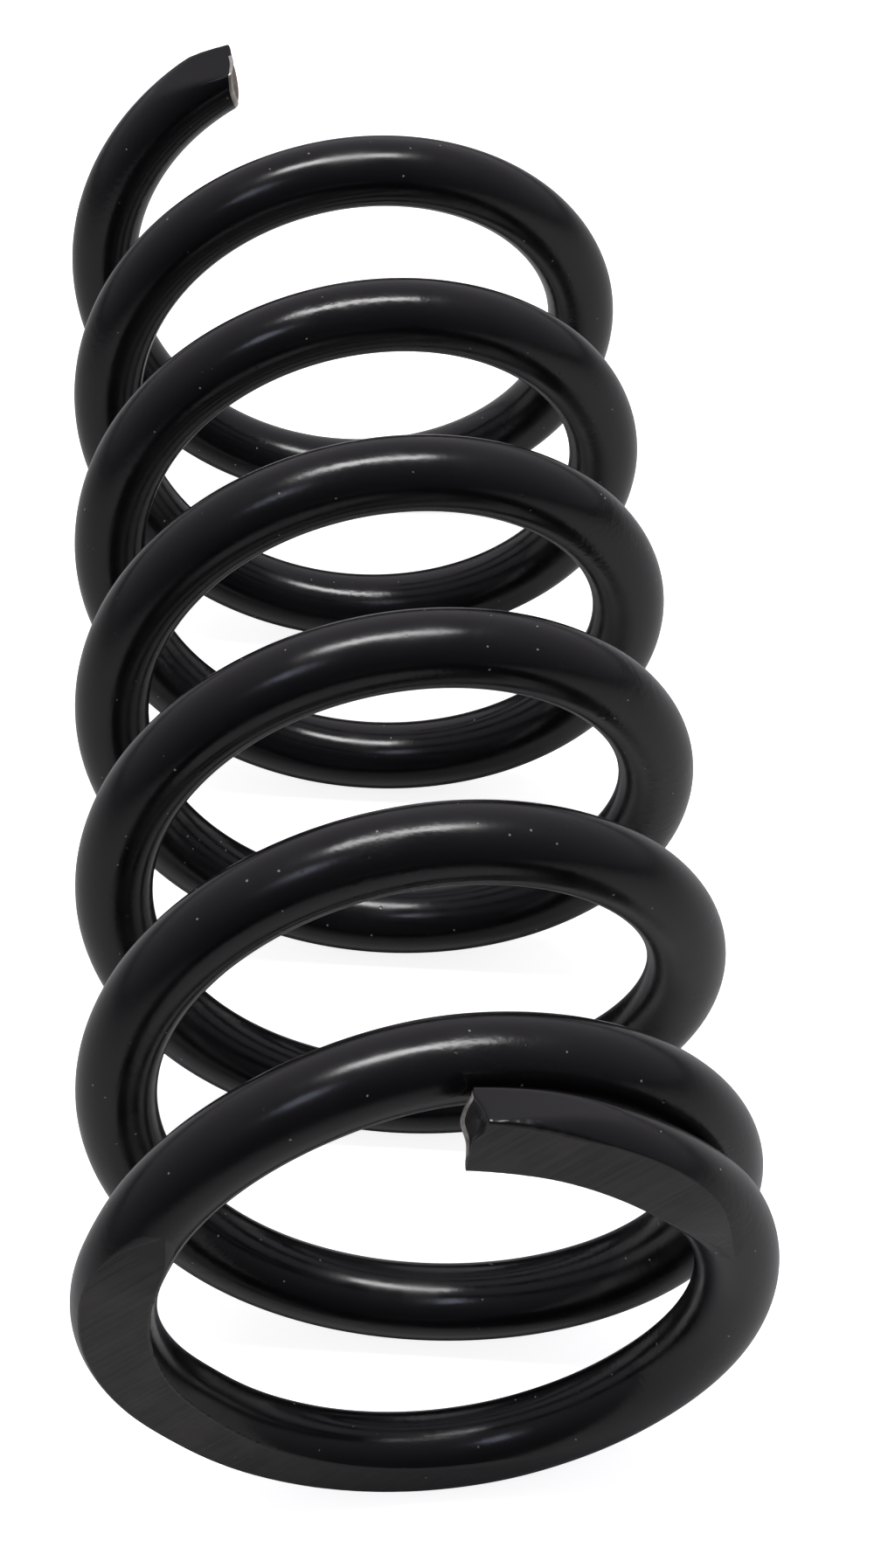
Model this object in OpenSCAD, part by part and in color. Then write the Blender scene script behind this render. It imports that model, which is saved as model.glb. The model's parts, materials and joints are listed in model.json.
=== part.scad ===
// Coil spring for a vehicle suspension: one round steel wire wound right-handed into a cylinder.
// One end is closed and ground flat, and the other end is left open and unground.
// The spring lies on its side: its axis runs along +Y, from the ground end to the open end, and +Z is up.
// The origin is on the surface it lies on, under the middle of its length.
// The wire is drawn as quarter turns, so that the coils can close up on one another.

/* [Wire] */
// Diameter of the wire
wire_d = 14; // [10:0.5:15]

/* [Coil] */
// Diameter of the coil, measured to the middle of the wire
mean_d = 101.5; // [90:0.5:140]
// Distance from one open coil to the next
pitch = 43.8; // [40:0.2:60]
// Number of turns from the ground tip to the open tip
turns = 6.9; // [3.1:0.1:9.9]
// Direction of the ground tip, in degrees from straight up towards +X
tip_angle = 8.3; // [0:0.1:45]

/* [Ends] */
// Height of the wire's middle above the ground face at the first four quarters, in wire diameters
closed_form = [0.22, 0.54, 0.43, 0.27];
// Running gap between the end faces of neighbouring quarter turns
face_gap = 0.1; // [0.05:0.05:0.3]

/* [Hidden] */
wire_r = wire_d / 2;
mean_r = mean_d / 2;
outer_r = mean_r + wire_r;
// Height of the wire's middle from the first full turn on, where the coil leaves the ground turn
lead_out_form = [1.26, 1.89, 2.66, 3.50, 4.35];
end_form = concat(closed_form, lead_out_form);
last_formed = len(end_form) - 1;
quarters = ceil(4 * turns);
ground_quarters = 5;
open_quarters = 3;
coil_length = rise(4 * turns) + wire_r;
// An arc runs this far past its end planes, and the sector then trims it to them
spare_angle = 4;
gap_angle = asin(face_gap / mean_r);
sector_r = 2 * outer_r;
ground_names = ["ground_tip", "ground_turn_2", "ground_turn_3", "ground_turn_4", "lead_out"];
open_names = ["open_turn_1", "open_turn_2", "open_tip"];
active_names = [for (n = [1:quarters - ground_quarters - open_quarters]) str("active_", n < 10 ? "0" : "", n)];
$fn = 64;

// Height of the wire's middle above the ground face, at a place counted in quarter turns from the ground tip.
// The formed end follows its own heights, and past it the coil climbs at a steady pitch.
function rise(quarter) =
  quarter >= last_formed
    ? end_form[last_formed] * wire_d + (quarter - last_formed) * pitch / 4
    : let (below = floor(quarter), part = quarter - below)
      wire_d * (end_form[below] * (1 - part) + end_form[below + 1] * part);

// Angle around the spring's axis at a place counted in quarter turns
function turn_angle(quarter) = tip_angle - 90 + 90 * quarter;

// Wedge between two end planes that both hold the spring's axis, standing on the ground face
module sector(from_angle, to_angle) {
  angles = [from_angle, (from_angle + to_angle) / 2, to_angle];
  linear_extrude(2 * coil_length)
    polygon(concat([[0, 0]], [for (a = angles) sector_r * [cos(a), sin(a)]]));
}

// Round wire along one quarter turn, tilted so that both its ends meet the neighbouring quarters.
// The sector's foot grinds it flat where it dips below the ground face.
module wire_quarter(first) {
  last = min(first + 1, 4 * turns);
  at_tip = last < first + 1 || first == quarters - 1;
  span = 90 * (last - first);
  middle = turn_angle((first + last) / 2);
  tilt = asin((rise(last) - rise(first)) / (2 * mean_r * sin(span / 2)));
  past_end = at_tip ? 0 : spare_angle;
  intersection() {
    rotate([0, 0, middle])
      translate([0, 0, (rise(first) + rise(last)) / 2])
        rotate([tilt, 0, 0])
          rotate([0, 0, -span / 2 - spare_angle])
            rotate_extrude(angle = span + spare_angle + past_end)
              translate([mean_r, 0])
                circle(d = wire_d);
    sector(turn_angle(first) + gap_angle / 2,
           turn_angle(last) + (at_tip ? spare_angle : -gap_angle / 2));
  }
}

// Lays the upright spring on its side, with the ground end towards -Y
module lie_down() {
  translate([0, -coil_length / 2, outer_r])
    rotate([-90, 0, 0])
      children();
}

// First turn: closed on itself and ground, with the thinned tip, and the quarter that leads out of it
module ground_turn(quarter) {
  color("#26242a") lie_down() wire_quarter(quarter);
}

// Turns that close up when the spring is loaded
module active_turn(quarter) {
  color("#1d1c21") lie_down() wire_quarter(quarter);
}

// Last turn, at full pitch, with the square sheared tip
module open_turn(quarter) {
  color("#2c2a30") lie_down() wire_quarter(quarter);
}

for (n = [0:ground_quarters - 1])
  ground_turn(n);
for (n = [ground_quarters:quarters - open_quarters - 1])
  active_turn(n);
for (n = [quarters - open_quarters:quarters - 1])
  open_turn(n);
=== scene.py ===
"""Coil spring for a vehicle suspension, lying on its side on a pale studio floor.

One round spring-steel wire, wound right-handed, closed and ground flat at one end and sheared off at
the other, and dipped in black paint. The CAD frame holds its bodies and joints. Here the wire is drawn
as one exact winding, in lengths: the two end ones ride on their bodies, and those between stay where they
are drawn.
"""
import json
import math

import bpy
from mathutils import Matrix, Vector, noise

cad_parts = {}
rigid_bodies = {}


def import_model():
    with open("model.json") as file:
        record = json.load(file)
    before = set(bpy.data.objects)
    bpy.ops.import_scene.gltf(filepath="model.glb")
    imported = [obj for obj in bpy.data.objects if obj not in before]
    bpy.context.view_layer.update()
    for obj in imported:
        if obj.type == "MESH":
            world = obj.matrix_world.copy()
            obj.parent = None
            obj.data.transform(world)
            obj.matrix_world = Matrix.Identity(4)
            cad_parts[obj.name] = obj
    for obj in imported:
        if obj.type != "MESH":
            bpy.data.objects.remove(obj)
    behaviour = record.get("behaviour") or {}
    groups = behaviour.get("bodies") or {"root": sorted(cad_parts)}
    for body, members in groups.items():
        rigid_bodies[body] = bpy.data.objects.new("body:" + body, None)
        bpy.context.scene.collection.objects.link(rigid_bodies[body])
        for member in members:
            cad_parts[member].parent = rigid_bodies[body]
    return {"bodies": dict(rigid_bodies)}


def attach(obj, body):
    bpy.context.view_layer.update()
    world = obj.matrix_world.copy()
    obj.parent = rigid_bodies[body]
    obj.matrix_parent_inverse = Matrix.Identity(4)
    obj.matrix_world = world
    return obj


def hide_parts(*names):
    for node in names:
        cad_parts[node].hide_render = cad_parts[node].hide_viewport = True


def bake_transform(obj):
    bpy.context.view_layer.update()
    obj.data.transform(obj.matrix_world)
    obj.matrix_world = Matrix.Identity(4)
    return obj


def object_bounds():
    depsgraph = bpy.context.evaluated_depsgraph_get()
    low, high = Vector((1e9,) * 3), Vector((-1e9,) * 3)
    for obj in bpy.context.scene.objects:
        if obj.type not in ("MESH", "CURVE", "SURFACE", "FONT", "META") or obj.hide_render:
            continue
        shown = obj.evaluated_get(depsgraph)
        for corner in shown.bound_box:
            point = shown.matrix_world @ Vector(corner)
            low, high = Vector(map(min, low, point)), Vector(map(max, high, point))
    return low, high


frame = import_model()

CAD_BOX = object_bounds()
MM = 0.001

# --- Wire and coil, in metres: the CAD's own driving dimensions, set out from the ground face of its box ---
WIRE_D = 14 * MM
WIRE_R = WIRE_D / 2
MEAN_R = 50.75 * MM
AXIS_Z = MEAN_R + WIRE_R
PITCH = 43.8 * MM
TURNS = 6.9
# Direction of the ground tip from the axis, past straight up
TIP_ANGLE = math.radians(8.3)
GROUND_Y = CAD_BOX[0][1]
TURN_LENGTH = math.hypot(math.tau * MEAN_R, PITCH)
# A step along the wire, in turns, short enough to give its direction
SHORT_STEP = 0.001

# Height of the wire's middle above the ground face, in millimetres, at a number of turns from the tip.
# The wire dips below its own radius twice, and the grinding wheel has left a flat there.
RISE_KNOTS = [
    (-0.1, -0.5), (0.0, 2.5), (0.04, 3.9), (0.085, 4.2), (0.12, 5.0), (0.16, 6.6), (0.2, 7.3),
    (0.27, 7.6), (0.34, 7.6), (0.4, 7.0), (0.45, 6.3), (0.5, 5.8), (0.58, 5.4), (0.63, 5.1),
    (0.67, 4.8), (0.71, 4.5), (0.75, 4.2), (0.79, 4.2), (0.83, 7.0), (0.9, 11.6), (1.0, 17.6),
    (1.25, 26.5), (1.5, 37.3), (1.75, 49.0), (2.0, 60.9), (2.25, 71.85),
]
# Distance from the axis to the wire's middle, against the coil's own: the first turn isn't quite round,
# and the last few degrees of wire at its tip stay straighter than the coil
RADIUS_KNOTS = [
    (-0.1, 1.09), (0.0, 1.035), (0.04, 1.014), (0.085, 1.006), (0.14, 1.0), (0.22, 1.002),
    (0.3, 1.009), (0.4, 1.012), (0.47, 1.006), (0.53, 0.995), (0.58, 0.981), (0.63, 0.968),
    (0.67, 0.982), (0.71, 1.0), (0.75, 1.019), (0.79, 1.036), (0.84, 1.032), (0.9, 1.018),
    (1.0, 1.003), (1.1, 1.0), (6.2, 1.0), (6.6, 1.006), (6.9, 1.008), (7.1, 1.008),
]

# --- Sheared tips: the blade presses a slanting flat, and leaves the cut a little out of square ---
# Directions round the wire are in degrees, from the ground side past the outside of the coil
# Each press: its direction, its depth against the wire's radius at the end of the winding, and its length
GROUND_TIP_PRESS = (102, 0.17, 20 * MM)
OPEN_TIP_PRESS = (80, 0.28, 10.5 * MM)
OPEN_TIP_ROLL = (130, 0.1, 3.0 * MM)
# This one only starts past the end of the winding, by the length given here
OPEN_TIP_NICK = (57, -0.097, -1.65 * MM)
PRESS_ROUND = 0.3 * MM
# The ground tip's outer corner is rolled over for a short way, in an uneven strip: its direction, its depth
# against the wire's radius, where it is deepest and where it ends, in turns, and its unevenness
ROLLED_ANGLE = 78
ROLLED_DEPTH = 0.056
ROLLED_FROM = -0.006
ROLLED_TO = 0.03
ROLLED_UNEVEN = 0.9
ROLLED_GRAIN = 1.3 * MM
# How far the cut runs on past the end of the winding, in millimetres, in directions round the wire
GROUND_TIP_CUT = [
    (0, 1.7), (30, 1.8), (62, 0.55), (95, 0.7), (125, 1.4), (155, 0.7), (180, 0.3), (220, 1.3),
    (250, 0.3), (290, 1.3),
]
OPEN_TIP_CUT = [
    (0, 1.6), (30, 3.1), (55, 4.1), (85, 4.3), (120, 4.4), (150, 3.0), (180, 2.8), (210, 2.3),
    (255, 0.6), (285, -0.3), (320, 0.5),
]
CUT_LEAN = 14 * MM
# The cut faces, from the lip to the middle: each ring's size against the rim, and its height in millimetres
GROUND_TIP_FACE = [
    (0.98, 0.1), (0.95, 0.14), (0.91, 0.1), (0.86, -0.05), (0.8, -0.3), (0.65, -0.8), (0.45, -1.2),
    (0.25, -1.4), (0.1, -1.45),
]
OPEN_TIP_FACE = [
    (0.99, 0.3), (0.965, 0.6), (0.93, 0.82), (0.88, 0.9), (0.82, 0.8), (0.65, 0.6), (0.45, 0.5),
    (0.2, 0.45),
]
# Finish of the outer rings, as (from a direction round the wire, over a span, finish): bright steel on the
# side where the rim catches the light, partly the blade's burnish and partly a painted highlight, and the
# dip's paint on the other
LIP_RINGS = 5
GROUND_TIP_LIP = [(160, 115, "lip"), (275, 245, "wire")]
OPEN_TIP_LIP = [(290, 150, "lip"), (80, 80, "wire"), (160, 130, "cut")]

# --- Ground flat: the rounds along its edges. It fades into the round wire between two depths of cut. ---
EDGE_R = 0.3 * MM
SOFT_EDGE_R = 1.2 * MM
FAINT_CUT = 0.2 * MM
FULL_CUT = 2.2 * MM
# The outer edge is rounder at the tip, until these places in turns
TIP_EDGE_R = 1.0 * MM
TIP_EDGE_FADES = (0.03, 0.07)
# An edge's round takes no more than this share of half the flat
EDGE_SHARE = 0.6
# Where the wire isn't ground, the ring keeps the same points on a stretch of this half angle
LEAST_FLAT = math.radians(5)
# A cut shallower than this counts as none
LEVEL_SLACK = 0.01 * MM

# --- Burr along the flat's edges: its grain, and the shares of an even, a fine and a coarse stand ---
BURR_FINE = 1.1 * MM
BURR_COARSE = 3.5 * MM
BURR_EVEN_SHARE = 0.25
BURR_FINE_SHARE = 0.6
BURR_COARSE_SHARE = 0.5
# How far it stands out all along, at the tip's outer edge, and on the inner edge before the flat runs out.
# The last two come and go between places in turns.
BURR_ALL_ALONG = 0.05 * MM
BURR_AT_TIP = 0.3 * MM
TIP_BURR_FADES = (0.01, 0.06)
BURR_AT_RUN_OUT = 0.5 * MM
RUN_OUT_BURR_GROWS = (0.56, 0.62)
RUN_OUT_BURR_FADES = (0.76, 0.8)
# It droops towards the ground side by this share of its stand
BURR_DROOP = 0.2
# Places in the noise field that are far enough apart to be unlike each other
EDGE_ROW = 7.0
COARSE_LAYER = 5.0
ROLLED_ROW = 3.0

# --- Mesh: points round the wire, and steps along it in degrees round the coil ---
ROUND_POINTS = 120
FLAT_POINTS = 7
EDGE_POINTS = 6
GROUND_STEP = 0.5
COIL_STEP = 2.0
# The lengths, in turns: the ground one, the ones between a quarter turn each, and the open one
GROUND_LAST = 1.125
QUARTER = 0.25
OPEN_FIRST = 6.125
# A joint face is very slightly hollow, so that two of them meet only at their rims
PLAIN_FACE = [(0.97, -0.05), (0.7, -0.05), (0.35, -0.05)]
# A hair of room between the last quarter-turn length and the open end, so that their walls never rub
JOINT_GAP = 0.01 * MM

# --- Finishes: sizes of their patterns, in millimetres ---
PAINT_IOR = 1.5
FILM_WAVE = 9
FILM_WAVE_HEIGHT = 0.1
PEEL_PATCH = 28
ORANGE_PEEL = 1.3
PEEL_HEIGHT = 0.06
# Dust and pits: how far apart they lie, and their radius against that, from where they are full to where
# they end. Their rims are shifted about, to make them uneven.
DUST_GAP = 4
DUST_REACH = (0.03, 0.06)
PIT_GAP = 5
PIT_REACH = (0.02, 0.07)
PIT_DEPTH = 0.06
RIM_GRAIN = 0.3
RIM_SHIFT = 0.25
# Marks of the grinding wheel: width, length against width, direction in degrees, and depth
WHEEL_MARK = 0.6
WHEEL_MARK_STRETCH = 30.0
WHEEL_MARK_ANGLE = -42
WHEEL_MARK_DEPTH = 0.03
THIN_PATCH = 6
TORN_GRAIN = 1.4
# Sockets of a Mix node that mixes colours
FIRST_COLOUR = 6
SECOND_COLOUR = 7
MIXED_COLOUR = 2

# --- Studio ---
# The camera: its place, how many degrees it looks down and to the right, and its lens in millimetres
CAMERA_PLACE = (-0.0194, -0.4013, 0.4972)
CAMERA_DOWN = 49.30
CAMERA_RIGHT = 4.43
LENS = 70.98
SENSOR = 36
NEAR_CLIP = 0.01
FLOOR_REACH = 4.0
FLOOR_GLOW = 0.85
# What reflections see of the floor, a painted pool of light: its brightness falls from the first value to
# the second over this reach
POOL_REACH = (0.2, 1.0)
POOL_LIGHT = (0.52, 0.14)
# Each light: brightness, colour, size, place and what it points at
SOFTBOX = (16, "#ffffff", (1.5, 0.37), (0.22, 0.13, 2.0), (0.22, 0.13, 0))
SIDE_FILL = (3, "#dfe6ff", (0.4, 0.4), (-0.6, -0.95, 1.6), (0, 0, 0.05))
# Brightness of the room behind the camera, and beyond the spring
ROOM_BEHIND = 0.05
ROOM_BEYOND = 0.62


# --------------------------------------------------------------------------- the wire's own shape
def lerp(a, b, part):
    return a + (b - a) * part


def smooth(value, low, high):
    part = min(max((value - low) / (high - low), 0.0), 1.0)
    return part * part * (3 - 2 * part)


def follow(knots, turn):
    """A smooth curve through the knots, as (place, value) pairs."""
    index = 1
    while index < len(knots) - 3 and knots[index + 1][0] <= turn:
        index += 1
    (t0, v0), (t1, v1), (t2, v2), (t3, v3) = knots[index - 1:index + 3]
    span = t2 - t1
    part = (turn - t1) / span
    slope1 = (v2 - v0) / (t2 - t0) * span
    slope2 = (v3 - v1) / (t3 - t1) * span
    return (
        v1 * (2 * part ** 3 - 3 * part ** 2 + 1)
        + slope1 * (part ** 3 - 2 * part ** 2 + part)
        + v2 * (3 * part ** 2 - 2 * part ** 3)
        + slope2 * (part ** 3 - part ** 2)
    )


def rise(turn):
    """Height of the wire's middle above the ground face."""
    # From the last knot but one, the pitch is steady
    steady_from, height = RISE_KNOTS[-2]
    if turn >= steady_from:
        return height * MM + (turn - steady_from) * PITCH
    return follow(RISE_KNOTS, turn) * MM


def coil_radius(turn):
    """Distance from the spring's axis to the wire's middle."""
    return MEAN_R * follow(RADIUS_KNOTS, turn)


def middle(turn):
    """The wire's middle at a number of turns from the ground tip."""
    angle = TIP_ANGLE + math.tau * turn
    radius = coil_radius(turn)
    return Vector((radius * math.sin(angle), GROUND_Y + rise(turn), AXIS_Z + radius * math.cos(angle)))


def wire_axes(turn):
    """Along the wire, outward from the axis, and towards the open end."""
    along = (middle(turn + SHORT_STEP) - middle(turn - SHORT_STEP)).normalized()
    angle = TIP_ANGLE + math.tau * turn
    outward = Vector((math.sin(angle), 0, math.cos(angle)))
    outward = (outward - along * outward.dot(along)).normalized()
    onward = outward.cross(along).normalized()
    if onward.y < 0:
        onward.negate()
    return along, outward, onward


def burr(turn, side):
    """How far the ground edge's burr stands out, on the outer side (1) or the inner side (-1)."""
    length = turn * TURN_LENGTH
    fine = noise.noise(Vector((length / BURR_FINE, side * EDGE_ROW, 0.0)))
    coarse = noise.noise(Vector((length / BURR_COARSE, side * EDGE_ROW, COARSE_LAYER)))
    if side > 0:
        size = BURR_AT_TIP * (1 - smooth(turn, *TIP_BURR_FADES))
    else:
        size = BURR_AT_RUN_OUT * smooth(turn, *RUN_OUT_BURR_GROWS) * (1 - smooth(turn, *RUN_OUT_BURR_FADES))
    uneven = BURR_EVEN_SHARE + BURR_FINE_SHARE * fine + BURR_COARSE_SHARE * coarse
    return (BURR_ALL_ALONG + size) * uneven


def wear(depth):
    """How fully the wheel has bared the flat: 0 where it runs out, 1 where it is deep."""
    return smooth(WIRE_R - depth, FAINT_CUT, FULL_CUT)


def edge_size(turn, side, half, depth):
    """Radius of the round along the flat's outer edge (1) or inner edge (-1)."""
    size = lerp(SOFT_EDGE_R, EDGE_R, wear(depth))
    if side > 0:
        size = max(size, TIP_EDGE_R * (1 - smooth(turn, *TIP_EDGE_FADES)))
    return min(size, EDGE_SHARE * half)


def corner_round(turn, start, side, half, level, edge_angle):
    """The small round between the flat and the wire, on the outer side (1) or the inner side (-1)."""
    end = (WIRE_R * side * math.sin(edge_angle), WIRE_R * math.cos(edge_angle))
    stand = burr(turn, side) if level < WIRE_R * math.cos(LEAST_FLAT) - LEVEL_SLACK else 0.0
    found = []
    for n in range(1, EDGE_POINTS + 1):
        part = n / (EDGE_POINTS + 1)
        weights = ((1 - part) ** 2, 2 * part * (1 - part), part ** 2)
        out = weights[0] * start[0] + weights[1] * side * half + weights[2] * end[0]
        low = weights[0] * start[1] + weights[1] * level + weights[2] * end[1]
        swell = stand * math.sin(math.pi * part)
        found.append((out + side * swell, low + BURR_DROOP * swell, None))
    return found


def flattened(depth, degrees, point):
    """A point of the ring, moved down to a plane with a soft edge where it lies above it.

    The point is (outward, towards the ground face, normal). The plane faces a direction round the wire,
    and lies this far under the round, against its radius.
    """
    out, low, normal = point
    angle = math.radians(degrees)
    towards = (math.sin(angle), math.cos(angle))
    excess = out * towards[0] + low * towards[1] - WIRE_R * (1 - depth)
    if excess <= -PRESS_ROUND:
        return point
    if excess < PRESS_ROUND:
        excess = (excess + PRESS_ROUND) ** 2 / (4 * PRESS_ROUND)
    return out - excess * towards[0], low - excess * towards[1], None


def pressed(turn, point):
    """A point on the round wire, moved down to the blade's flats where they lie below it."""
    ground_back = turn * TURN_LENGTH
    open_back = (TURNS - turn) * TURN_LENGTH
    presses = (
        (GROUND_TIP_PRESS, ground_back), (OPEN_TIP_PRESS, open_back), (OPEN_TIP_ROLL, open_back),
        (OPEN_TIP_NICK, open_back),
    )
    for (degrees, depth, length), back in presses:
        if back < length:
            point = flattened(depth * (1 - back / length), degrees, point)
    return point


def rolled(turn, points):
    """The ring with the ground tip's outer corner rolled over."""
    if turn > ROLLED_TO:
        return points
    uneven = 1 + ROLLED_UNEVEN * noise.noise(Vector((turn * TURN_LENGTH / ROLLED_GRAIN, ROLLED_ROW, 0.0)))
    depth = ROLLED_DEPTH * uneven * (1 - smooth(turn, ROLLED_FROM, ROLLED_TO))
    angle = math.radians(ROLLED_ANGLE)
    limit = WIRE_R * (1 - depth)
    found = []
    for out, low, normal in points:
        excess = out * math.sin(angle) + low * math.cos(angle) - limit
        if excess > 0:
            found.append((out - excess * math.sin(angle), low - excess * math.cos(angle), None))
        else:
            found.append((out, low, normal))
    return found


def section(turn):
    """Points round the wire as (outward, towards the ground face, normal), with the ground flat cut off.

    The list crosses the flat from its outer edge to its inner one, and goes back round the outside.
    A normal of None is taken from the finished mesh.
    """
    depth = rise(turn) / wire_axes(turn)[2].y
    ground = depth < WIRE_R
    corner = max(math.acos(min(depth / WIRE_R, 1.0)), LEAST_FLAT)
    half = WIRE_R * math.sin(corner)
    level = min(WIRE_R * math.cos(corner), depth)
    outer_edge = edge_size(turn, 1, half, depth)
    inner_edge = edge_size(turn, -1, half, depth)
    flat = []
    for n in range(FLAT_POINTS):
        place = lerp(half - outer_edge, inner_edge - half, n / (FLAT_POINTS - 1))
        low = min(math.sqrt(WIRE_R ** 2 - place ** 2), depth)
        normal = (0.0, 1.0) if ground else (place / WIRE_R, low / WIRE_R)
        flat.append((place, low, normal))
    outer_angle = corner + outer_edge / WIRE_R
    inner_angle = corner + inner_edge / WIRE_R
    inner = corner_round(turn, flat[-1], -1, half, level, inner_angle)
    outer = corner_round(turn, flat[0], 1, half, level, outer_angle)
    bar = []
    for n in range(ROUND_POINTS + 1):
        angle = lerp(-inner_angle, outer_angle - math.tau, n / ROUND_POINTS)
        normal = (math.sin(angle), math.cos(angle))
        bar.append(pressed(turn, (WIRE_R * normal[0], WIRE_R * normal[1], normal)))
    return rolled(turn, flat + inner + bar + outer[::-1])


def cut_run(knots, angle):
    """How far a cut runs on along the wire, in a direction round it."""
    around = [(knots[-1][0] - 360, knots[-1][1])] + knots
    around += [(degrees + 360, run) for degrees, run in knots[:2]]
    return follow(around, math.degrees(angle) % 360) * MM


def skewed(turn, out, low):
    """Where along the wire a point of this ring lies: near a tip, the rings lean with its cut."""
    for knots, end, onward in ((GROUND_TIP_CUT, 0.0, -1), (OPEN_TIP_CUT, TURNS, 1)):
        back = abs(turn - end) * TURN_LENGTH
        if back < CUT_LEAN:
            run = cut_run(knots, math.atan2(out, low)) * (1 - back / CUT_LEAN)
            return turn + onward * run / TURN_LENGTH
    return turn


# --------------------------------------------------------------------------- mesh building
def wire_mesh(name, finishes, first, last, step, start_tip=None, end_tip=None):
    """A length of the wire between two places, closed at both ends. The finishes are named by their faces.

    A tip is given as the rings of its cut face and the finishes of its lip.
    """
    count = max(int(round((last - first) * 360 / step)), 2)
    places = [lerp(first, last, n / count) for n in range(count + 1)]
    mesh = {"verts": [], "normals": [], "straight": [], "wear": [], "faces": [], "kinds": []}
    for turn in places:
        for n, (out, low, normal) in enumerate(section(turn)):
            place = skewed(turn, out, low)
            if place != turn:
                # Taken again at its own place, so that the ground flat stays in one plane
                out, low, normal = section(place)[n]
            along, outward, onward = wire_axes(place)
            mesh["verts"].append(middle(place) + outward * out - onward * low)
            mesh["normals"].append(normal and outward * normal[0] - onward * normal[1])
            mesh["straight"].append((place * TURN_LENGTH, out, low))
            mesh["wear"].append(wear(rise(place)))
    size = len(mesh["verts"]) // len(places)
    for row, turn in enumerate(places[:-1]):
        ground = "ground" in finishes and rise(turn) < WIRE_R - LEVEL_SLACK
        for n in range(size):
            a = row * size + n
            b = row * size + (n + 1) % size
            mesh["faces"].append((a, b, b + size, a + size))
            mesh["kinds"].append("ground" if ground and n < FLAT_POINTS - 1 else "wire")
    close_end(mesh, first, 0, size, -1, start_tip)
    close_end(mesh, last, count * size, size, 1, end_tip)
    return finish_mesh(name, mesh, finishes)


def close_end(mesh, turn, base, size, sign, tip):
    """Closes one end of a length of wire: a plain joint face, or the hollow cut face of a tip."""
    along = wire_axes(turn)[0] * sign
    rim = [Vector(v) for v in mesh["verts"][base:base + size]]
    places = mesh["straight"][base:base + size]
    centre = sum(rim, Vector()) / size
    rings = [(scale, stand * MM) for scale, stand in (tip[0] if tip else [(1.0, 0.0)] + PLAIN_FACE)]
    start = len(mesh["verts"])
    for scale, stand in rings + [(0.0, rings[-1][1])]:
        for n in range(size if scale else 1):
            mesh["verts"].append(centre + (rim[n] - centre) * scale + along * stand)
            mesh["normals"].append(None if tip else along)
            mesh["straight"].append((places[n][0], places[n][1] * scale, places[n][2] * scale))
            mesh["wear"].append(0.0)
    # A cut face grows from the wall's own rim, and a joint face has a rim of its own, which keeps it sharp
    rows = ([base] if tip else []) + [start + n * size for n in range(len(rings))]
    for row, (here, there) in enumerate(zip(rows, rows[1:] + [None])):
        for n in range(size):
            m = (n + 1) % size
            kind = "cut" if tip else "wire"
            if tip and row < LIP_RINGS:
                degrees = math.degrees(math.atan2(places[n][1], places[n][2]))
                kind = next(finish for begin, span, finish in tip[1] if (degrees - begin) % 360 <= span)
            if there is None:
                corners = (here + n, here + m, len(mesh["verts"]) - 1)
            else:
                corners = (here + n, here + m, there + m, there + n)
            mesh["faces"].append(corners if sign > 0 else corners[::-1])
            mesh["kinds"].append(kind)


def finish_mesh(name, parts, finishes):
    """The object for a finished length, with its finishes, its normals and what its materials read."""
    mesh = bpy.data.meshes.new(name)
    mesh.from_pydata([tuple(v) for v in parts["verts"]], [], parts["faces"])
    kinds = list(finishes)
    for kind in kinds:
        mesh.materials.append(finishes[kind])
    mesh.polygons.foreach_set("material_index", [kinds.index(kind) for kind in parts["kinds"]])
    mesh.polygons.foreach_set("use_smooth", [True] * len(parts["faces"]))
    place = mesh.attributes.new("straight_wire", "FLOAT_VECTOR", "POINT")
    place.data.foreach_set("vector", [c for p in parts["straight"] for c in p])
    worn = mesh.attributes.new("wheel_wear", "FLOAT", "POINT")
    worn.data.foreach_set("value", parts["wear"])
    mesh.update()
    own = [vertex.normal.copy() for vertex in mesh.vertices]
    normals = [tuple(given or found) for given, found in zip(parts["normals"], own)]
    mesh.normals_split_custom_set_from_vertices(normals)
    piece = bpy.data.objects.new(name, mesh)
    bpy.context.scene.collection.objects.link(piece)
    return piece


# --------------------------------------------------------------------------- materials
def linear(code):
    """An sRGB hex colour as the linear colour that the shaders take."""
    channels = [int(code[n:n + 2], 16) / 255 for n in (1, 3, 5)]
    return tuple(c / 12.92 if c <= 0.04045 else ((c + 0.055) / 1.055) ** 2.4 for c in channels) + (1.0,)


def add_node(tree, kind, inputs=None, **settings):
    """Adds a node with its settings, and links or sets its inputs."""
    node = tree.nodes.new(kind)
    for name, value in settings.items():
        setattr(node, name, value)
    for socket, value in (inputs or {}).items():
        if isinstance(value, bpy.types.NodeSocket):
            tree.links.new(value, node.inputs[socket])
        else:
            node.inputs[socket].default_value = value
    return node


def new_material(name):
    material = bpy.data.materials.new(name)
    material.use_nodes = True
    tree = material.node_tree
    tree.nodes.clear()
    return material, tree


def per_size(millimetres):
    """The texture scale at which one cell is this many millimetres."""
    return 1 / (millimetres * MM)


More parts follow.
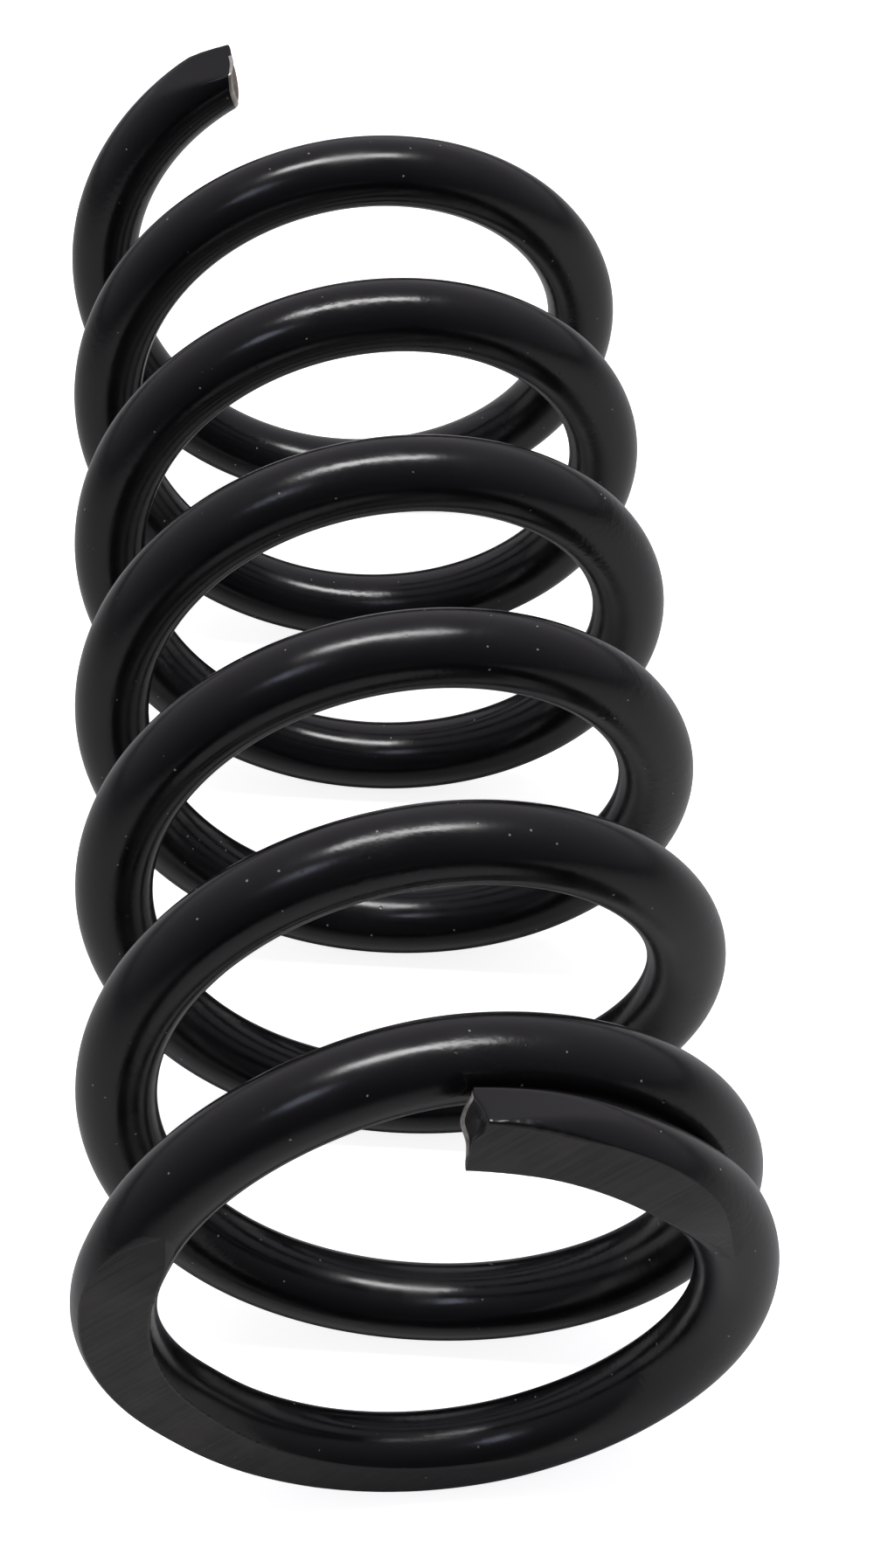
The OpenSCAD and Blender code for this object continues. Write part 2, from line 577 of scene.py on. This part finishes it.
def dip_paint_shader(tree):
    """Black dip paint on the round wire, with the dust that settled while it was wet.

    Its patterns follow the wire as if it were straight: along it, outward, and towards the ground side.
    """
    place = add_node(tree, "ShaderNodeAttribute", attribute_name="straight_wire").outputs["Vector"]
    film = add_node(tree, "ShaderNodeTexNoise", {
        "Vector": place, "Scale": per_size(FILM_WAVE), "Detail": 3.0,
    }).outputs["Fac"]
    film_roughness = add_node(tree, "ShaderNodeMapRange", {
        "Value": film, "From Min": 0.35, "From Max": 0.65, "To Min": 0.17, "To Max": 0.26,
    }).outputs["Result"]
    waves = add_node(tree, "ShaderNodeBump", {
        "Height": film, "Strength": 0.5, "Distance": FILM_WAVE_HEIGHT * MM,
    }).outputs["Normal"]
    patches = add_node(tree, "ShaderNodeTexNoise", {
        "Vector": place, "Scale": per_size(PEEL_PATCH), "Detail": 1.0,
    }).outputs["Fac"]
    peel_strength = add_node(tree, "ShaderNodeMapRange", {
        "Value": patches, "From Min": 0.5, "From Max": 0.68, "To Min": 0.25, "To Max": 1.0,
    }).outputs["Result"]
    orange_peel = add_node(tree, "ShaderNodeTexNoise", {
        "Vector": place, "Scale": per_size(ORANGE_PEEL), "Detail": 2.0,
    }).outputs["Fac"]
    peel = add_node(tree, "ShaderNodeBump", {
        "Height": orange_peel, "Strength": peel_strength, "Distance": PEEL_HEIGHT * MM, "Normal": waves,
    }).outputs["Normal"]
    ragged = add_node(tree, "ShaderNodeTexNoise", {
        "Vector": place, "Scale": per_size(RIM_GRAIN),
    }).outputs["Color"]
    ragged_place = add_node(tree, "ShaderNodeVectorMath", {
        0: ragged, 1: (RIM_SHIFT * MM,) * 3, 2: place,
    }, operation="MULTIPLY_ADD").outputs["Vector"]
    specks = add_node(tree, "ShaderNodeTexVoronoi", {
        "Vector": ragged_place, "Scale": per_size(DUST_GAP),
    }).outputs["Distance"]
    dust = add_node(tree, "ShaderNodeMapRange", {
        "Value": specks, "From Min": DUST_REACH[0], "From Max": DUST_REACH[1], "To Min": 1.0, "To Max": 0.0,
    }).outputs["Result"]
    holes = add_node(tree, "ShaderNodeTexVoronoi", {
        "Vector": ragged_place, "Scale": per_size(PIT_GAP),
    }).outputs["Distance"]
    level = add_node(tree, "ShaderNodeMapRange", {
        "Value": holes, "From Min": PIT_REACH[0], "From Max": PIT_REACH[1], "To Min": 0.0, "To Max": 1.0,
    }).outputs["Result"]
    tone = add_node(tree, "ShaderNodeMix", {
        "Factor": dust, FIRST_COLOUR: linear("#0c0b0d"), SECOND_COLOUR: linear("#8f8b86"),
    }, data_type="RGBA").outputs[MIXED_COLOUR]
    roughness = add_node(tree, "ShaderNodeMapRange", {
        "Value": dust, "From Min": 0.0, "From Max": 1.0, "To Min": film_roughness, "To Max": 0.7,
    }).outputs["Result"]
    pitted = add_node(tree, "ShaderNodeBump", {
        "Height": level, "Strength": 0.6, "Distance": PIT_DEPTH * MM, "Normal": peel,
    }).outputs["Normal"]
    return add_node(tree, "ShaderNodeBsdfPrincipled", {
        "Base Color": tone, "Roughness": roughness, "IOR": PAINT_IOR, "Normal": pitted,
    }).outputs["BSDF"]


def black_dip_paint():
    """Black dip paint, semi-gloss: soft-edged reflections, a faint orange peel, pits and settled dust."""
    material, tree = new_material("black_dip_paint_on_spring_steel")
    add_node(tree, "ShaderNodeOutputMaterial", {"Surface": dip_paint_shader(tree)})
    return material


def ground_steel_paint():
    """Paint over the ground face: thin and dull, with the wheel's marks showing, and fading to plain paint.

    The marks are drawn about twice as coarse as a real wheel leaves them.
    """
    material, tree = new_material("black_dip_paint_on_ground_steel")
    place = add_node(tree, "ShaderNodeTexCoord").outputs["Object"]
    wheel_place = add_node(tree, "ShaderNodeMapping", {
        "Vector": place, "Rotation": (0.0, math.radians(WHEEL_MARK_ANGLE), 0.0),
        "Scale": (WHEEL_MARK_STRETCH, 1.0, 1.0),
    }, vector_type="TEXTURE").outputs["Vector"]
    marks = add_node(tree, "ShaderNodeTexNoise", {
        "Vector": wheel_place, "Scale": per_size(WHEEL_MARK), "Detail": 3.0,
    }).outputs["Fac"]
    bare_share = add_node(tree, "ShaderNodeMapRange", {
        "Value": marks, "From Min": 0.35, "From Max": 0.65, "To Min": 0.0, "To Max": 1.0,
    }).outputs["Result"]
    streaks = add_node(tree, "ShaderNodeMix", {
        "Factor": bare_share, FIRST_COLOUR: linear("#131110"), SECOND_COLOUR: linear("#2d2a28"),
    }, data_type="RGBA").outputs[MIXED_COLOUR]
    patches = add_node(tree, "ShaderNodeTexNoise", {
        "Vector": place, "Scale": per_size(THIN_PATCH), "Detail": 3.0,
    }).outputs["Fac"]
    thin_share = add_node(tree, "ShaderNodeMapRange", {
        "Value": patches, "From Min": 0.4, "From Max": 0.7, "To Min": 0.0, "To Max": 0.5,
    }).outputs["Result"]
    tone = add_node(tree, "ShaderNodeMix", {
        "Factor": thin_share, FIRST_COLOUR: streaks, SECOND_COLOUR: linear("#3a3431"),
    }, data_type="RGBA").outputs[MIXED_COLOUR]
    scored = add_node(tree, "ShaderNodeBump", {
        "Height": marks, "Strength": 0.6, "Distance": WHEEL_MARK_DEPTH * MM,
    }).outputs["Normal"]
    dull = add_node(tree, "ShaderNodeBsdfPrincipled", {
        "Base Color": tone, "Roughness": 0.5, "IOR": PAINT_IOR, "Normal": scored,
    }).outputs["BSDF"]
    worn = add_node(tree, "ShaderNodeAttribute", attribute_name="wheel_wear").outputs["Fac"]
    both = add_node(tree, "ShaderNodeMixShader", {0: worn, 1: dip_paint_shader(tree), 2: dull})
    add_node(tree, "ShaderNodeOutputMaterial", {"Surface": both.outputs["Shader"]})
    return material


def cut_finish(name, tones, roughness, metallic, depth):
    """Torn steel: uneven between two tones, and in height by a depth in millimetres."""
    material, tree = new_material(name)
    place = add_node(tree, "ShaderNodeAttribute", attribute_name="straight_wire").outputs["Vector"]
    grain = add_node(tree, "ShaderNodeTexNoise", {
        "Vector": place, "Scale": per_size(TORN_GRAIN), "Detail": 5.0,
    }).outputs["Fac"]
    share = add_node(tree, "ShaderNodeMapRange", {
        "Value": grain, "From Min": 0.3, "From Max": 0.7, "To Min": 0.0, "To Max": 1.0,
    }).outputs["Result"]
    tone = add_node(tree, "ShaderNodeMix", {
        "Factor": share, FIRST_COLOUR: linear(tones[0]), SECOND_COLOUR: linear(tones[1]),
    }, data_type="RGBA").outputs[MIXED_COLOUR]
    torn = add_node(tree, "ShaderNodeBump", {
        "Height": grain, "Strength": 0.6, "Distance": depth * MM,
    }).outputs["Normal"]
    steel = add_node(tree, "ShaderNodeBsdfPrincipled", {
        "Base Color": tone, "Roughness": roughness, "Metallic": metallic, "Normal": torn,
    })
    add_node(tree, "ShaderNodeOutputMaterial", {"Surface": steel.outputs["BSDF"]})
    return material


def painted_cut():
    """Hollow of the ground tip's cut: torn steel that the dip has filled, so it looks dark and uneven."""
    return cut_finish("black_dip_paint_on_sheared_steel", ("#0e0d0f", "#262325"), 0.45, 0.0, 0.12)


def bare_cut():
    """Cut face of the open tip: torn steel with hardly any paint left, brownish and dull."""
    return cut_finish("sheared_spring_steel", ("#5b4a40", "#94826f"), 0.5, 0.4, 0.1)


def burnished_lip_and_painted_highlight():
    """Lip of a cut: steel rubbed bright by the blade before it tore, set only where the rim shines, so
    partly a painted highlight.
    """
    return cut_finish("blade_burnished_steel_and_painted_highlight", ("#a8a39c", "#dad6cf"), 0.35, 0.9, 0.02)


# --------------------------------------------------------------------------- studio
def make_camera():
    data = bpy.data.cameras.new("camera")
    data.lens = LENS
    data.sensor_width = SENSOR
    data.clip_start = NEAR_CLIP
    camera = bpy.data.objects.new("camera", data)
    camera.location = CAMERA_PLACE
    camera.rotation_euler = (math.radians(90 - CAMERA_DOWN), 0, math.radians(-CAMERA_RIGHT))
    bpy.context.scene.collection.objects.link(camera)
    bpy.context.scene.camera = camera


def paper_colour_and_painted_pool(tree, path):
    """White paper, which reflections see as a painted pool of light that fades into a dim room."""
    where = add_node(tree, "ShaderNodeTexCoord").outputs["Object"]
    far = add_node(tree, "ShaderNodeVectorMath", {0: where}, operation="LENGTH").outputs["Value"]
    painted_pool = add_node(tree, "ShaderNodeMapRange", {
        "Value": far, "From Min": POOL_REACH[0], "From Max": POOL_REACH[1],
        "To Min": POOL_LIGHT[0], "To Max": POOL_LIGHT[1],
    }).outputs["Result"]
    # Painted light and shade: rays that glance off the spring see the floor dimmer, in a pool that fades
    # with distance
    return add_node(tree, "ShaderNodeMix", {
        "Factor": path.outputs["Is Glossy Ray"], FIRST_COLOUR: linear("#eeeeee"), SECOND_COLOUR: painted_pool,
    }, data_type="RGBA").outputs[MIXED_COLOUR]


def make_floor():
    """Matt white paper that runs out of sight, and glows a little so that hardly any shadow shows on it."""
    mesh = bpy.data.meshes.new("floor")
    corners = [(x * FLOOR_REACH, y * FLOOR_REACH, 0) for x, y in ((-1, -1), (1, -1), (1, 1), (-1, 1))]
    mesh.from_pydata(corners, [], [(0, 1, 2, 3)])
    material, tree = new_material("pale_studio_paper")
    path = add_node(tree, "ShaderNodeLightPath")
    paper = add_node(tree, "ShaderNodeBsdfDiffuse", {"Color": paper_colour_and_painted_pool(tree, path)})
    lit = add_node(tree, "ShaderNodeMapRange", {
        "Value": path.outputs["Is Camera Ray"], "From Min": 0.0, "From Max": 1.0,
        "To Min": 0.0, "To Max": FLOOR_GLOW,
    }).outputs["Result"]
    glow = add_node(tree, "ShaderNodeEmission", {"Strength": lit})
    both = add_node(tree, "ShaderNodeAddShader", {0: paper.outputs["BSDF"], 1: glow.outputs["Emission"]})
    add_node(tree, "ShaderNodeOutputMaterial", {"Surface": both.outputs["Shader"]})
    mesh.materials.append(material)
    floor = bpy.data.objects.new("floor", mesh)
    bpy.context.scene.collection.objects.link(floor)


def area_light(name, radiance, colour, size, place, aim):
    """A flat soft light of even brightness, aimed at a point."""
    data = bpy.data.lights.new(name, "AREA")
    data.shape = "RECTANGLE"
    data.size, data.size_y = size
    data.energy = radiance * math.pi * size[0] * size[1]
    data.color = linear(colour)[:3]
    light = bpy.data.objects.new(name, data)
    light.location = place
    direction = Vector(aim) - Vector(place)
    light.visible_camera = False
    light.rotation_euler = direction.to_track_quat("-Z", "Y").to_euler()
    bpy.context.scene.collection.objects.link(light)


def make_lights():
    area_light("overhead_softbox", *SOFTBOX)
    area_light("side_fill", *SIDE_FILL)


def make_world():
    """Room round the studio: dim behind the camera and lighter beyond the spring."""
    world = bpy.data.worlds.new("studio_room")
    bpy.context.scene.world = world
    world.use_nodes = True
    tree = world.node_tree
    tree.nodes.clear()
    direction = add_node(tree, "ShaderNodeTexCoord").outputs["Generated"]
    parts = add_node(tree, "ShaderNodeSeparateXYZ", {"Vector": direction})
    room = add_node(tree, "ShaderNodeMapRange", {
        "Value": parts.outputs["Y"], "From Min": -1.0, "From Max": 1.0,
        "To Min": ROOM_BEHIND, "To Max": ROOM_BEYOND,
    }).outputs["Result"]
    path = add_node(tree, "ShaderNodeLightPath")
    seen = add_node(tree, "ShaderNodeMix", {
        "Factor": path.outputs["Is Camera Ray"], "A": room, "B": 1.0,
    })
    tint = add_node(tree, "ShaderNodeMix", {
        "Factor": path.outputs["Is Camera Ray"],
        FIRST_COLOUR: linear("#f4eff8"), SECOND_COLOUR: linear("#ffffff"),
    }, data_type="RGBA").outputs[MIXED_COLOUR]
    background = add_node(tree, "ShaderNodeBackground", {"Color": tint, "Strength": seen.outputs["Result"]})
    add_node(tree, "ShaderNodeOutputWorld", {"Surface": background.outputs["Background"]})


# --------------------------------------------------------------------------- the spring
def make_spring():
    """The whole wire: the ground turn, a quarter-turn length from each body to the next, and the open end.
    """
    paint = black_dip_paint()
    lip = burnished_lip_and_painted_highlight()
    ground_finishes = {"wire": paint, "ground": ground_steel_paint(), "cut": painted_cut(), "lip": lip}
    open_finishes = {"wire": paint, "cut": bare_cut(), "lip": lip}
    active = sorted(name for name in frame["bodies"] if name.startswith("active_"))
    chain = ["ground_end"] + active

    ground = wire_mesh("ground_turn", ground_finishes, 0.0, GROUND_LAST, GROUND_STEP,
                       start_tip=(GROUND_TIP_FACE, GROUND_TIP_LIP))
    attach(ground, "ground_end")
    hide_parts("ground_tip", "ground_turn_2", "ground_turn_3", "ground_turn_4", "lead_out")

    for n, (before, after) in enumerate(zip(chain, chain[1:])):
        first = GROUND_LAST + n * QUARTER
        last = first + QUARTER
        piece = wire_mesh("coil_" + after[-2:], {"wire": paint}, first, last, COIL_STEP)
        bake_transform(piece)
        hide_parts(after)

    open_from = OPEN_FIRST + JOINT_GAP / TURN_LENGTH
    open_end = wire_mesh("open_end_turn", open_finishes, open_from, TURNS, COIL_STEP,
                         end_tip=(OPEN_TIP_FACE, OPEN_TIP_LIP))
    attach(open_end, "open_end")
    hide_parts("open_turn_1", "open_turn_2", "open_tip")


bpy.context.scene.view_settings.view_transform = "Standard"
make_camera()
make_floor()
make_lights()
make_world()
make_spring()
